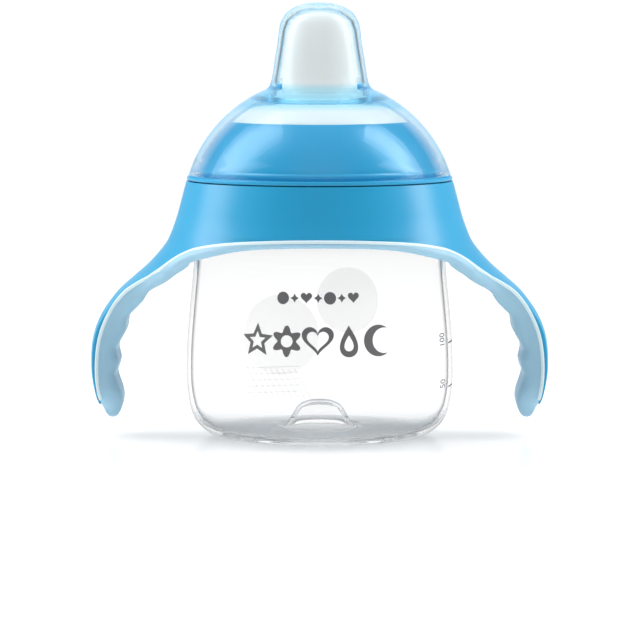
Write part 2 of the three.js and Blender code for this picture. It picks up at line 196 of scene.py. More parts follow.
cup_outside = curved([
    (26.5, 0), (29.9, 0.6), (32.7, 2.1), (34.9, 4.5), (36.2, 7.4), (36.9, 10.8), (37.35, 14.5),
    (37.5, 19), (37.3, 26),
    (36.7, 34), (36, 41), (35.4, 47.5), (35.1, 52.2), (34.6, 54.8), (33, 56.7), (31.2, 57.5),
])
cup_inside = curved([
    (28.9, 56), (31.5, 55.2), (33.2, 53.8), (33.9, 51.5), (34.2, 47.5), (34.8, 41), (35.45, 34),
    (36.05, 26), (36.25, 19),
    (36.1, 14.5), (35.6, 10.8), (34.8, 7.8), (33.2, 5), (30.6, 3.1), (27, 2.15), (22, 2),
])
neck_radius = 30.4
thread_depth = 1.4
neck_rows = [(neck_radius, 58.4 + 0.3 * i) for i in range(54)]
cup_outline = (
    [(0, 8.5), (3.4, 8.4), (5.4, 7.4), (6.4, 5.6), (7.1, 3.4, 1), (9.6, 1.5, 1), (10.2, 1.5),
     (10.4, 1.2), (10.9, 1.2), (11.1, 1.5)]
    + [(17.6, 1.1), (17.8, 0.85), (18.3, 0.85), (18.5, 1.1), (21, 1, 0.5), (22, 0, 0.5)]
    + cup_outside
    + neck_rows
    + [(neck_radius, 75, 0.6), (28.9, 75, 0.4)]
    + cup_inside
    + [(15, 2.3), (12.6, 2.6), (10.2, 3.1), (8.6, 4, 0.8), (7.5, 6, 1), (6, 8.6, 1.4), (3, 9.8, 1),
       (0, 9.95)]
)


def cup_thread(r, z, angle):
    on_neck = abs(r - neck_radius) < 0.01 and 58 < z < 74.5
    return r + thread_depth * ridge(angle, z, 0, 1.25, 61.5) if on_neck else r


clear, clear_shader = shader("clear_polypropylene", IOR=1.03, Transmission_Weight=1.0, Roughness=0.02)
clear_nodes, clear_links = clear.node_tree.nodes, clear.node_tree.links


def in_range(value, low, high, at_low, at_high):
    """A value moved from one range to another and kept inside it."""
    node = clear_nodes.new("ShaderNodeMapRange")
    for socket, number in (("From Min", low), ("From Max", high), ("To Min", at_low), ("To Max", at_high)):
        node.inputs[socket].default_value = number
    clear_links.new(value, node.inputs["Value"])
    return node.outputs["Result"]


def worked(operation, one, two=None):
    """One step of arithmetic on the shader's values."""
    node = clear_nodes.new("ShaderNodeMath")
    node.operation = operation
    clear_links.new(one, node.inputs[0])
    if two is not None:
        clear_links.new(two, node.inputs[1])
    return node.outputs["Value"]


clear_facing = clear_nodes.new("ShaderNodeLayerWeight")
clear_facing.inputs["Blend"].default_value = 0.5
clear_place = clear_nodes.new("ShaderNodeTexCoord")
clear_normal = clear_nodes.new("ShaderNodeSeparateXYZ")
outward = clear_nodes.new("ShaderNodeVectorMath")
outward.operation = "DOT_PRODUCT"
clear_links.new(clear_place.outputs["Normal"], clear_normal.inputs["Vector"])
clear_links.new(clear_place.outputs["Object"], outward.inputs[0])
clear_links.new(clear_place.outputs["Normal"], outward.inputs[1])
# Painted shade: where the wall is seen edge on, its inside is painted with a dark line and its outside with
# a paler one, and level parts of the base are painted greyer at a low angle. This stands in for grazing
# reflections.
wall_edge = worked(
    "MULTIPLY",
    in_range(clear_facing.outputs["Facing"], 0.75, 0.87, 0, 1),
    in_range(outward.outputs["Value"], -0.01, 0.01, 1, 0.45),
)
level_edge = in_range(clear_facing.outputs["Facing"], 0.75, 1, 0.05, 0.38)
lying_flat = in_range(worked("ABSOLUTE", clear_normal.outputs["Z"]), 0.35, 0.8, 0, 1)
upright_edge = worked("MULTIPLY", wall_edge, in_range(lying_flat, 0, 1, 1, 0))
cup_edge_shade = worked("ADD", upright_edge, worked("MULTIPLY", level_edge, lying_flat))
# Painted shade: near white face on, dark grey where the edge shade is painted.
cup_shade_colour = clear_nodes.new("ShaderNodeMix")
cup_shade_colour.data_type = "RGBA"
cup_shade_colour.inputs["A"].default_value = (0.985, 0.988, 0.99, 1)
cup_shade_colour.inputs["B"].default_value = (0.09, 0.09, 0.095, 1)
clear_links.new(cup_edge_shade, cup_shade_colour.inputs["Factor"])
clear_links.new(cup_shade_colour.outputs["Result"], clear_shader.inputs["Base Color"])
# Edge on, and at a low angle over the base, the plastic turns less clear, so that the painted shade shows.
shade_showing = worked(
    "MAXIMUM",
    in_range(clear_facing.outputs["Facing"], 0.93, 1, 0, 0.9),
    worked("MULTIPLY", lying_flat, in_range(clear_facing.outputs["Facing"], 0.7, 0.87, 0, 0.8)),
)
clear_links.new(in_range(shade_showing, 0, 1, 1, 0), clear_shader.inputs["Transmission Weight"])
grain(clear, clear_shader, 9, 0.04, (0.01, 0.035), (1, 1, 0.4))
let_lamps_through(clear, clear_shader, (0.97, 0.97, 0.97))

cup = turned("cup_body_clear", cup_outline, 180, cup_thread)
fit(cup, clear, "cup", "clear_plastic", "cup_body")


# ---- Print on the cup ----
# Two rows of nursery shapes, two pale balloons over a hatched patch, and the measuring marks, screen
# printed on the outside in soft grey ink. Each is a film far thinner than the wall.
printed_radius = 37


def cup_radius(z):
    """The cup's outside radius at a height, in mm."""
    for (r0, z0), (r1, z1) in zip(cup_outside, cup_outside[1:]):
        if z0 <= z <= z1:
            return r0 + (r1 - r0) * (z - z0) / (z1 - z0)
    return printed_radius


def film(name, flat, x, z, lift=0.03):
    """Wraps a flat curve or text object in mm round the cup. Its origin goes to height z, at arc
    length x from the front."""
    bpy.context.scene.collection.objects.link(flat)
    mesh = bpy.data.meshes.new_from_object(flat.evaluated_get(bpy.context.evaluated_depsgraph_get()))
    bpy.data.objects.remove(flat)
    work = bmesh.new()
    work.from_mesh(mesh)
    bmesh.ops.remove_doubles(work, verts=work.verts, dist=0.002)
    bmesh.ops.triangulate(work, faces=work.faces)
    for _ in range(4):
        long_edges = [e for e in work.edges if e.calc_length() > 1]
        bmesh.ops.subdivide_edges(work, edges=long_edges, cuts=1)
        bmesh.ops.triangulate(work, faces=work.faces)
    for v in work.verts:
        height = z + v.co.y
        radius = cup_radius(height) + lift
        angle = (x + v.co.x) / printed_radius
        v.co = Vector((radius * math.sin(angle), -radius * math.cos(angle), height)) * mm
    bmesh.ops.recalc_face_normals(work, faces=work.faces)
    work.to_mesh(mesh)
    work.free()
    piece = bpy.data.objects.new(name, mesh)
    bpy.context.scene.collection.objects.link(piece)
    thick = piece.modifiers.new("ink", "SOLIDIFY")
    thick.thickness = 0.02 * mm
    thick.offset = 1
    return piece


def flat_shape(name, loops):
    """A flat filled shape in mm. A loop inside another one is a hole."""
    curve = bpy.data.curves.new(name, "CURVE")
    curve.dimensions = "2D"
    curve.fill_mode = "BOTH"
    for loop in loops:
        spline = curve.splines.new("POLY")
        spline.points.add(len(loop) - 1)
        spline.use_cyclic_u = True
        for point, (a, b) in zip(spline.points, loop):
            point.co = (a, b, 0, 1)
    return bpy.data.objects.new(name, curve)


def circle(x, y, radius, steps=40):
    turns = [2 * math.pi * k / steps for k in range(steps)]
    return [(x + radius * math.cos(a), y + radius * math.sin(a)) for a in turns]


def star(radius, waist, tips=5):
    reach = [radius, waist]
    turn = math.pi / tips
    return [(reach[k % 2] * math.sin(turn * k), reach[k % 2] * math.cos(turn * k)) for k in range(2 * tips)]


def flower(radius, petals=6, steps=72):
    loop = []
    for k in range(steps):
        angle = 2 * math.pi * k / steps
        reach = radius * (0.8 + 0.2 * math.cos(petals * angle))
        loop.append((reach * math.sin(angle), reach * math.cos(angle)))
    return loop


def heart(size, steps=48):
    loop = []
    for k in range(steps):
        t = 2 * math.pi * k / steps
        high = 13 * math.cos(t) - 5 * math.cos(2 * t) - 2 * math.cos(3 * t) - math.cos(4 * t)
        loop.append((size * math.sin(t) ** 3, size * (high + 2.5) / 16))
    return loop


def moon(radius, steps=24):
    horns = math.radians(50)
    out_turns = [horns + (2 * math.pi - 2 * horns) * k / steps for k in range(steps + 1)]
    outer = [(radius * math.cos(a), radius * math.sin(a)) for a in out_turns]
    bite = outer[0][1] / math.sin(math.radians(72))
    centre = outer[0][0] - bite * math.cos(math.radians(72))
    in_turns = [math.radians(288 - 216 * k / steps) for k in range(1, steps)]
    inner = [(centre + bite * math.cos(a), bite * math.sin(a)) for a in in_turns]
    return outer + inner


def drop(size, steps=40):
    turns = [2 * math.pi * k / steps for k in range(steps)]
    return [(size * 0.8 * math.sin(t) * math.sin(t / 2) ** 1.2, size * math.cos(t)) for t in turns]


def ringed(outer, share, centre=(0, 0)):
    """A loop with a smaller copy of itself cut out."""
    hole = [(centre[0] + share * (a - centre[0]), centre[1] + share * (b - centre[1])) for a, b in outer]
    return [outer, hole]


ink, ink_shader = shader("grey_ink", Base_Color=(0.15, 0.15, 0.155, 1))
grain(ink, ink_shader, 0.5, 0.3, (0.4, 0.6))

half = 4.3
shapes = {
    "star": ringed(star(half * 1.12, half * 0.52), 0.52),
    "flower": [flower(half), circle(0, 0, half * 0.38)],
    "heart": ringed(heart(half * 1.02), 0.68),
    "drop": ringed(drop(half), 0.5, (0, -1)),
    "moon": [moon(half)],
}
for place, (shape_name, loops) in enumerate(shapes.items()):
    printed = film("print_" + shape_name, flat_shape(shape_name, loops), (place - 2) * 8.5 - 0.5, 29.8)
    fit(printed, ink, "cup", "clear_plastic")
dot, spark, small_heart = circle(0, 0, 1.7, 28), star(1.2, 0.62, 4), heart(1.6)
bead_shapes = [dot, spark, small_heart, spark, dot, spark, small_heart]
for place, loop in enumerate(bead_shapes):
    printed = film("print_bead_" + str(place + 1), flat_shape("bead", [loop]), (place - 3) * 3.3 - 0.4, 41.5)
    fit(printed, ink, "cup", "clear_plastic")

pale_ink, pale_shader = shader("pale_ink", Base_Color=(0.8, 0.8, 0.77, 1), Alpha=0.16, Roughness=0.5)
grain(pale_ink, pale_shader, 0.8, 0.2, (0.4, 0.6))
for number, (across, high, radius) in enumerate([(8, 41, 8.8), (-11, 31.5, 10.8)]):
    disc = flat_shape("balloon", [circle(0, 0, radius, 72)])
    balloon = film("print_balloon_" + str(number + 1), disc, across, high, 0.01)
    fit(balloon, pale_ink, "cup", "clear_plastic")
hatching = []
for k in range(9):
    along = -20.6 + 1.7 * k
    hatching.append([(along, 22.5), (along + 0.4, 22.5), (along + 4.9, 14.5), (along + 4.5, 14.5)])
for k in range(5):
    across = 15.2 + 1.7 * k
    hatching.append([(-20.5, across), (-20.5, across + 0.4), (-5.5, across + 1.4), (-5.5, across + 1)])
for number, bar in enumerate(hatching):
    crossing_lift = 0.002 * (number > 8)
    printed = film("print_hatch_" + str(number + 1), flat_shape("bar", [bar]), 0, 0, 0.01 + crossing_lift)
    fit(printed, pale_ink, "cup", "clear_plastic")

marks = {"50": 14.8, "100": 27.0}
for label, height in marks.items():
    text = bpy.data.curves.new("mark_" + label, "FONT")
    text.body = label
    text.size = 4.8
    text.align_x = "CENTER"
    text.align_y = "CENTER"
    lying = bpy.data.objects.new("mark_" + label, text)
    flat = bpy.data.meshes.new_from_object(lying)
    for v in flat.vertices:
        v.co = (-v.co.y, 0.55 * v.co.x, 0)
    lettering = film("print_ml_" + label, bpy.data.objects.new("mark", flat), 42.6, height + 1.2)
    fit(lettering, ink, "cup", "clear_plastic")
    bar = [(47.5, -0.22), (55, -0.22), (55, 0.22), (47.5, 0.22)]
    tick = film("print_tick_" + label, flat_shape("tick", [bar]), 0, height)
    fit(tick, ink, "cup", "clear_plastic")


# ---- Screw ring ----
# A blue polypropylene ring. Its thread screws onto the neck, its lip carries the travel cap, its domed
# top clamps the spout, and twelve teeth round it lock the handles' ribs.
blue, blue_shader = shader(
    "blue_polypropylene",
    Base_Color=(0.018, 0.37, 0.66, 1),
    Subsurface_Weight=0.12,
    Subsurface_Scale=0.004,
    Specular_IOR_Level=0.5,
)
grain(blue, blue_shader, 0.6, 0.06, (0.27, 0.36))


def arc(radius, centre_z, degrees):
    """Points of a dome's outline, on a circle whose centre is on the axis."""
    angles = [math.radians(a) for a in degrees]
    return [(radius * math.cos(a), centre_z + radius * math.sin(a)) for a in angles]


bore_radius = 32.2
ring_dome = arc(37.2, 60.7, range(23, 47, 2))
bore_rows = [(bore_radius, 76.4 - 0.3 * i) for i in range(56)]
ring_outline = (
    [(bore_radius, 59.1, 0.4), (34.5, 59.1, 0.4), (34.5, 71.9, 0.3), (37.1, 71.9, 0.25),
     (37.1, 72.9, 0.25), (34.6, 72.9, 0.3)]
    + [(34.9, 73.6, 0.3), (34.9, 74.3, 0.3), (34.3, 74.9, 0.3)]
    + ring_dome
    + [(25.3, 87.9, 0.5), (24.8, 87.3, 0.4), (24.8, 85.7, 0.5), (27.6, 81.6), (29.6, 77, 0.3),
       (bore_radius, 77, 0.3)]
    + bore_rows
)


def ring_thread(r, z, angle):
    in_bore = abs(r - bore_radius) < 0.01 and 59.6 < z < 76.5
    return r - thread_depth * ridge(angle, z, 0.25, 1, 59) if in_bore else r


def blocks(boxes):
    """Points and faces of plain blocks. Each has a lowest and a highest corner in mm and a turn
    about Z."""
    points = []
    faces = []
    for low, high, turn in boxes:
        first = len(points)
        for x in (low[0], high[0]):
            for y in (low[1], high[1]):
                for z in (low[2], high[2]):
                    c, s = math.cos(turn), math.sin(turn)
                    points.append((x * c - y * s, x * s + y * c, z))
        for face in ((0, 1, 3, 2), (4, 6, 7, 5), (0, 4, 5, 1), (2, 3, 7, 6), (0, 2, 6, 4), (1, 5, 7, 3)):
            faces.append([first + corner for corner in face])
    return points, faces


def joined(name, pieces):
    """One piece from several that overlap."""
    whole = bmesh.new()
    for piece in pieces:
        whole.from_mesh(piece.data)
        bpy.data.objects.remove(piece)
    mesh = bpy.data.meshes.new(name)
    whole.to_mesh(mesh)
    whole.free()
    mesh.shade_smooth()
    mesh.set_sharp_from_angle(angle=math.radians(42))
    piece = bpy.data.objects.new(name, mesh)
    bpy.context.scene.collection.objects.link(piece)
    return piece


rib_turns = [math.radians(30 + 60 * k) for k in range(6)]
teeth = []
for turn in rib_turns:
    for side in (-1, 1):
        teeth.append(((34.2, side * 2.1 - 0.6, 60.4), (36.1, side * 2.1 + 0.6, 66.4), turn))
ring_pieces = [turned("ring_wall", ring_outline, 180, ring_thread), solid("ring_teeth", *blocks(teeth))]
screw_ring = joined("screw_ring_blue", ring_pieces)
fit(screw_ring, blue, "collar", "blue_plastic", "screw_ring")


# ---- Handles ----
# One blue moulding: a flared skirt that drops over the ring, and a strap curving down on each side.
# Its lower edge is cut in a low arch at the front and back, and six ribs inside lock it to the ring.
skirt_top = 71.6
seam_top = 57.5
handle_tip = 8.9
outer_line = curved([
    (37.3, 71.6), (38.2, 68.3), (39.1, 64.9), (40, 61.6), (41.2, 58.2), (42.7, 54.8), (45.2, 51.5),
    (48.4, 48.1), (52.2, 44.8),
    (56.0, 41.4), (58.8, 38), (61, 34.7), (62.6, 31.3), (63.6, 28), (64.1, 24.6), (64.2, 21.2),
    (64.1, 17.9), (63.6, 14.5),
    (62.8, 11.2), (61.9, 8.9),
], 8)
seam_line = curved([
    (0, 57.5), (8, 57.4), (15, 57.1), (22, 56.6), (28, 55.8), (33.3, 54.5), (36.3, 53.2),
    (39.2, 51.6), (42.8, 49.3), (47.1, 46.4),
    (50.4, 44.4), (53.9, 42), (56.4, 39.3), (58.5, 36.2), (60.2, 32.8), (61.4, 29.4), (62.2, 25.5),
    (62.6, 21), (62.55, 16.5), (62.1, 12.5),
    (61.3, 8.9),
], 8)
side_line = curved([
    (48, 56.5), (34, 54.6), (27, 52.9), (22, 50.6), (18, 47.8), (14.6, 44.8), (12.4, 41),
    (10.9, 35), (10.1, 26), (9.6, 17),
    (8.7, 12.8), (6.6, 10.2), (3.5, 9), (0.3, 8.7),
], 8)


def along(line, z):
    """The first value of a line that runs downhill, at height z."""
    for (r0, z0), (r1, z1) in zip(line, line[1:]):
        if z1 <= z <= z0:
            return r0 + (r1 - r0) * (z - z0) / (z1 - z0 - 1e-9)
    return line[0][0] if z > line[0][1] else line[-1][0]


def slope(z):
    """The outward normal of the outer line at height z, as (r, z)."""
    low, high = max(z - 0.5, handle_tip), min(z + 0.5, skirt_top)
    run = along(outer_line, low) - along(outer_line, high)
    return Vector((high - low, run)).normalized()


def half_width(z):
    """How far the handle reaches to each side of its middle plane at height z."""
    radius = along(outer_line, z)
    seam = min(along(seam_line, z), radius)
    from_seam = math.sqrt(max(radius**2 - seam**2, 0)) if z > 46 else 99
    return min(from_seam, along(side_line, z), radius)


def frame_rows():
    """Heights of the rows: close together where the seam is level, and at the tip."""
    rows = [skirt_top - 14.1 * k / 26 for k in range(26)]
    seam_heights = [z for x, z in seam_line if z > 9.6]
    return rows + seam_heights + [9.5, 9.3, 9.1, 8.95]


def frame_point(z, u, depth):
    """A point of the right half at height z: on the surface, its normal, and depth mm under it.
    u goes from -1 at the front edge to 1 at the back."""
    radius = along(outer_line, z)
    width = half_width(z)
    reach = math.pi / 2 if z >= seam_top else math.asin(min(width / radius, 1))
    angle = reach * u
    normal = slope(z)
    outer = Vector((radius * math.cos(angle), radius * math.sin(angle), z))
    round_normal = Vector((normal.x * math.cos(angle), normal.x * math.sin(angle), normal.y))
    return outer, round_normal, outer - round_normal * depth


def strap_inner(z, u):
    """The inside of the shell: a wall at the skirt, and at the handle flat across, on the seam."""
    outer, normal, skirt_inner = frame_point(z, u, 1 + 0.8 * ease(50, 57, z))
    across = slope(z)
    depth = (along(outer_line, z) - along(seam_line, z)) * across.x
    depth = min(max(depth, 0.25), 2.6)
    middle = Vector((along(outer_line, z), 0, z)) - Vector((across.x, 0, across.y)) * depth
    flat = Vector((min(middle.x, outer.x - 0.2), outer.y, middle.z))
    return flat.lerp(skirt_inner, ease(46.5, 53.5, z))


rows = frame_rows()
columns = 44
lips = 4


def right_half():
    """The right half of the skirt with its handle as points and faces, with a rounded edge all round."""
    outers = [[frame_point(z, 2 * k / columns - 1, 0)[0] for k in range(columns + 1)] for z in rows]
    inners = [[strap_inner(z, 2 * k / columns - 1) for k in range(columns + 1)] for z in rows]
    points = [p for row in outers for p in row] + [p for row in inners for p in row]
    wide = columns + 1
    under = len(rows) * wide
    faces = []
    for j in range(len(rows) - 1):
        for k in range(columns):
            a = j * wide + k
            faces.append((a, a + 1, a + 1 + wide, a + wide))
            faces.append((under + a, under + a + wide, under + a + 1 + wide, under + a + 1))
    edge = [(j, 0) for j in range(len(rows)) if rows[j] <= seam_top]
    edge += [(len(rows) - 1, k) for k in range(1, columns)]
    edge += [(j, columns) for j in reversed(range(len(rows))) if rows[j] <= seam_top]
    top = [(0, k) for k in range(columns + 1)]
    for run, bulge in ((edge, 0.2), (top, 0.15)):
        strips = []
        for i, (j, k) in enumerate(run):
            before = outers[run[max(i - 1, 0)][0]][run[max(i - 1, 0)][1]]
            after = outers[run[min(i + 1, len(run) - 1)][0]][run[min(i + 1, len(run) - 1)][1]]
            outer, inner = outers[j][k], inners[j][k]
            away = (after - before).cross(outer - inner).normalized()
            if run is top:
                away = Vector((0, 0, 1))
            elif away.dot(outer - Vector((outer.x * 0.9, 0, 70))) < 0:
                away = -away
            strip = [j * wide + k]
            for n in range(1, lips):
                t = n / lips
                points.append(outer.lerp(inner, t) + away * bulge * math.sin(math.pi * t))
                strip.append(len(points) - 1)
            strip.append(under + j * wide + k)
            strips.append(strip)
        for one, two in zip(strips, strips[1:]):
            for n in range(lips):
                faces.append((one[n], one[n + 1], two[n + 1], two[n]))
    return points, faces


half_points, half_faces = right_half()
count = len(half_points)
frame_points = half_points + [Vector((-p.x, p.y, p.z)) for p in half_points]
frame_faces = half_faces + [[corner + count for corner in face] for face in half_faces]
shell = solid("handle_shell", frame_points, frame_faces)
floor_ring = turned("handle_floor", [(32.4, 57.7, 0.3), (39.6, 57.7), (39.3, 58.8), (32.4, 58.8, 0.3)])
ribs = solid("handle_ribs", *blocks([((34.95, -0.9, 58.6), (38.4, 0.9, 64.4), turn) for turn in rib_turns]))
handle_frame = joined("handle_frame_blue", [shell, floor_ring, ribs])
fit(handle_frame, blue, "collar", "blue_plastic", "handle_frame")


# ---- Soft grip ----
# Light blue rubber moulded onto the handles: a rounded trim under the skirt's edge that grows into a
# pad on each handle, scalloped for small fingers and standing a little proud of the blue on both
# sides. A raised bead runs along its edge, painted near white as a painted highlight.
grip_stations = curved([
    (35.6, 49.6, 54), (37.4, 48.1, 52.8), (39.9, 46.4, 51.2), (41.9, 44.8, 49.8),
    (44.3, 43.3, 48.2), (46.6, 42, 46.8),
    (48, 40.6, 45.7), (48.9, 38.9, 44.4), (50.3, 37.3, 42.9), (52, 35.6, 41.2), (53.4, 34, 39.2),
    (53.9, 32, 36.8),
    (54.2, 30, 34.2), (55.4, 27.6, 31), (56.6, 25.4, 28), (56.5, 23.6, 25.6), (56, 21.6, 23.2),
    (56.4, 19.6, 20.8),
    (57, 17.9, 18.6), (56.5, 15.8, 16.4), (55.5, 13, 13.8), (55.1, 10.6, 11.8), (55.6, 8, 10.2),
    (56.6, 5.9, 9.5),
    (57.9, 5.05, 9.2), (59.3, 5.4, 9.1), (60.2, 6.8, 9.05), (60.8, 8.3, 9),
], 5)
proud = 0.5
clear_of_cup = 35.6


def seam_point(z):
    """The point of the seam at height z, as (x, z)."""
    for (x0, z0), (x1, z1) in zip(seam_line, seam_line[1:]):
        if z1 <= z <= z0:
            return Vector((x0 + (x1 - x0) * (z - z0) / (z1 - z0 - 1e-9), z))
    return Vector(seam_line[-1])


def pad():
    """The right handle's pad, drawn down the handle from section to section: each section is a rounded
    rectangle between the fingers' side and the seam."""
    rings = []
    for x, z, seam_z in grip_stations:
        finger = Vector((x, z))
        seam = seam_point(seam_z)
        across = (seam - finger).normalized()
        seam = seam + across * 0.3
        long = (seam - finger).length
        narrow = min(half_width(seam_z), 15.5 + max(seam_z - 45.5, 0) * 1.5)
        width = narrow * (1 - 0.3 * (1 - min((z - 4.6) / 9, 1)) ** 2) + proud
        ring = []
        soft, crisp = min(3, 0.45 * long), min(0.9, 0.45 * long)
        corners = ((-1, 0, soft, 180), (-1, 1, crisp, 90), (1, 1, crisp, 0), (1, 0, soft, -90))
        for corner_y, corner_t, radius, start in corners:
            for k in range(7):
                angle = math.radians(start + 90 - 15 * k)
                y = corner_y * (width - radius) + radius * math.cos(angle)
                t = corner_t * long + (radius if corner_t == 0 else -radius) + radius * math.sin(angle)
                ring.append((y, t))
        placed = []
        for y, t in ring:
            spot = finger + across * t
            limit = math.sqrt(max((along(outer_line, max(spot.y, 9)) - 0.5) ** 2 - spot.x**2, 1)) + proud
            placed.append((max(spot.x, clear_of_cup), max(-limit, min(limit, y)), spot.y))
        rings.append(placed)
    size = len(rings[0])
    points = [p for ring in rings for p in ring]
    faces = []
    for j in range(len(rings) - 1):
        for k in range(size):
            on = (k + 1) % size
            a, b = j * size, (j + 1) * size
            faces.append((a + k, a + on, b + on, b + k))
    faces.append(list(range(size)))
    faces.append(list(reversed(range(len(points) - size, len(points)))))
    return points, faces


def trim(back, below, tall_by, deep, forward):
    """A rounded strip along the skirt's lower edge and down both handles, at the front (-1) or the
    back (1). It starts below the seam, is tall_by(x) tall and deep mm thick, and stands forward of
    the blue."""
    path = []
    for x, z in seam_line:
        if z < 10:
            break
        outer, normal, _ = frame_point(min(z, seam_top - 0.001), back, 0)
        handle = 1 - ease(46.5, 53.5, z)
        side = Vector((min(x, outer.x), outer.y, outer.z))
        path.append((outer.lerp(side, handle), normal.lerp(Vector((0, back, 0)), handle).normalized(), x))
    left = [(Vector((-p.x, p.y, p.z)), Vector((-n.x, n.y, n.z)), x) for p, n, x in path[1:]]
    route = list(reversed(left)) + path
    points = []
    sides = 14
    for i, (p, normal, x) in enumerate(route):
        run = (route[min(i + 1, len(route) - 1)][0] - route[max(i - 1, 0)][0]).normalized()
        down = run.cross(normal).normalized()
        if down.dot(Vector((-math.copysign(min(x / 30, 1), p.x), 0, -1))) < 0:
            down = -down
        tall = tall_by(x)
        middle = p + down * (tall / 2 + below) - normal * (deep / 2 - forward - 0.3 * ease(20, 44, x))
        for k in range(sides):
            angle = 2 * math.pi * k / sides
            a, b = math.cos(angle), math.sin(angle)
            a = math.copysign(abs(a) ** 0.62, a)
            b = math.copysign(abs(b) ** 0.62, b)
            points.append(middle + down * a * tall / 2 + normal * b * deep / 2)
    faces = []
    for i in range(len(route) - 1):
        for k in range(sides):
            on = (k + 1) % sides
            a, b = i * sides, (i + 1) * sides
            faces.append((a + k, a + on, b + on, b + k))
    faces.append(list(range(sides)))
    faces.append(list(reversed(range(len(points) - sides, len(points)))))
    return points, faces


def trim_height(x):
    return (1.9 + 1.3 * ease(16, 36, x)) * (1 - 0.45 * ease(38, 48, x))


def bead_height(x):
    return 1.1


pad_points, pad_faces = pad()
left_points = [(-x, y, z) for x, y, z in pad_points]
grip_pieces = [
    solid("pad_right", pad_points, pad_faces),
    solid("pad_left", left_points, pad_faces),
    solid("trim_front", *trim(-1, -0.05, trim_height, 2.7, 0.35)),
    solid("trim_back", *trim(1, -0.05, trim_height, 2.7, 0.35)),
]
soft_grip = joined("soft_grip_rubber", grip_pieces)
merge = soft_grip.modifiers.new("one_moulding", "REMESH")
merge.mode = "VOXEL"
merge.voxel_size = 0.38 * mm
merge.use_smooth_shade = True
soften = soft_grip.modifiers.new("soft_edges", "SMOOTH")
soften.factor = 0.5
soften.iterations = 5

rubber, rubber_shader = shader(
    "light_blue_rubber",
    Base_Color=(0.36, 0.62, 0.79, 1),
    Subsurface_Weight=0.15,
    Subsurface_Scale=0.003,
    Specular_IOR_Level=0.45,
)
grain(rubber, rubber_shader, 0.35, 0.12, (0.4, 0.52))
fit(soft_grip, rubber, "collar", "soft_grip", "soft_grip_trim")

# Painted highlight: the bead is painted near white to stand in for the highlight along the rubber's rounded
# edge.
highlight_rubber, highlight_rubber_shader = shader(
    "rubber_edge_painted_highlight",
    Base_Color=(0.76, 0.93, 0.98, 1),
    Specular_IOR_Level=0.5,
)
grain(highlight_rubber, highlight_rubber_shader, 0.35, 0.08, (0.22, 0.32))
edge_beads = [solid("edge_bead", *trim(back, -0.02, bead_height, 1.5, 0.49)) for back in (-1, 1)]
soft_edge = joined("soft_grip_edge", edge_beads)
fit(soft_edge, highlight_rubber, "collar", "soft_grip")


# ---- Spout ----
# One piece of translucent white silicone: a flange clamped on the cup's rim, a domed foot, an oval
# mouthpiece with two small holes in its tip, and a socket underneath for the valve.
spout_outside = [
    (12.6, 92.6, 0.5), (11.2, 93.4), (10.8, 95, 0.6), (10.5, 97.5), (10, 101), (9.5, 105),
    (9.1, 108.5), (8.7, 111.5), (8.2, 114),
    (7.4, 116.1, 0.8), (6, 117.7, 0.8), (3.6, 118.5, 0.8), (0.05, 118.7),
]
spout_inside = [
    (0.05, 117.1), (3, 116.9, 0.5), (5.4, 116, 0.6), (6.7, 113.8, 0.6), (7.3, 110), (7.9, 106),
    (8.5, 101), (9, 96.5), (9.4, 93.6), (10.2, 91.2, 0.3),
]
spout_outline = (
    [(28.4, 75.25, 0.3), (31.8, 75.25, 0.3), (31.8, 76.75, 0.3), (29.3, 76.75, 0.3), (27.3, 81.4),
     (24.5, 85.4, 0.4)]
    + [(24.5, 87.9, 0.35), (23.2, 89.1), (21.6, 90.35), (20, 91.4), (18.4, 92.2, 0.4),
       (17.2, 92.5, 0.4)]
    + spout_outside
    + spout_inside
    + [(10.3, 84.3, 0.2), (11.9, 84.3, 0.3), (11.9, 90.8, 0.4), (17.2, 90.8), (20.2, 89.6),
       (22.9, 87.2, 0.5), (22.9, 85.1, 0.4), (25.6, 81), (27.6, 76.8, 0.3)]
)


def oval(r, z, angle):
    """The mouthpiece narrows front to back, and is round again at its foot."""
    if r > 12.3 or z < 91.4:
        return r
    return r, 1 - (0.36 if r > 5 else 0.3) * ease(91.4, 101, z)


silicone, silicone_shader = shader(
    "white_silicone",
    Base_Color=(0.88, 0.85, 0.83, 1),
    Subsurface_Weight=1.0,
    Subsurface_Scale=0.004,
    Transmission_Weight=0.12,
    Specular_IOR_Level=0.45,
    IOR=1.41,
)
silicone_shader.inputs["Subsurface Radius"].default_value = (1, 0.95, 0.9)
# Painted light: the silicone glows faintly so that the spout stays bright under the cap. The valve's disc
# shares this glow.
silicone_shader.inputs["Emission Color"].default_value = (1, 0.92, 0.88, 1)
silicone_shader.inputs["Emission Strength"].default_value = 0.12
grain(silicone, silicone_shader, 0.7, 0.1, (0.36, 0.48))


def drilled(piece, holes):
    """Cuts round holes, each (radius, x, y, lowest z, highest z) in mm, straight through a piece."""
    cutters = []
    for radius, x, y, low, high in holes:
        cutter = turned("drill", [(0, low), (radius, low), (radius, high), (0, high)], 20)
        cutter.data.transform(Matrix.Translation(Vector((x, y, 0)) * mm))
        cutters.append(cutter)
    drill = joined("drill", cutters)
    cut = piece.modifiers.new("holes", "BOOLEAN")
    cut.object = drill
    cut.solver = "EXACT"
    mesh = bpy.data.meshes.new_from_object(piece.evaluated_get(bpy.context.evaluated_depsgraph_get()))
    mesh.name = piece.name
    piece.modifiers.clear()
    piece.data = mesh
    bpy.data.objects.remove(drill)


spout = turned("soft_spout_silicone", spout_outline, 128, oval)
drilled(spout, [(0.45, -1.6, 0, 115, 120), (0.45, 1.6, 0, 115, 120)])
fit(spout, silicone, "spout", "silicone", "soft_spout")


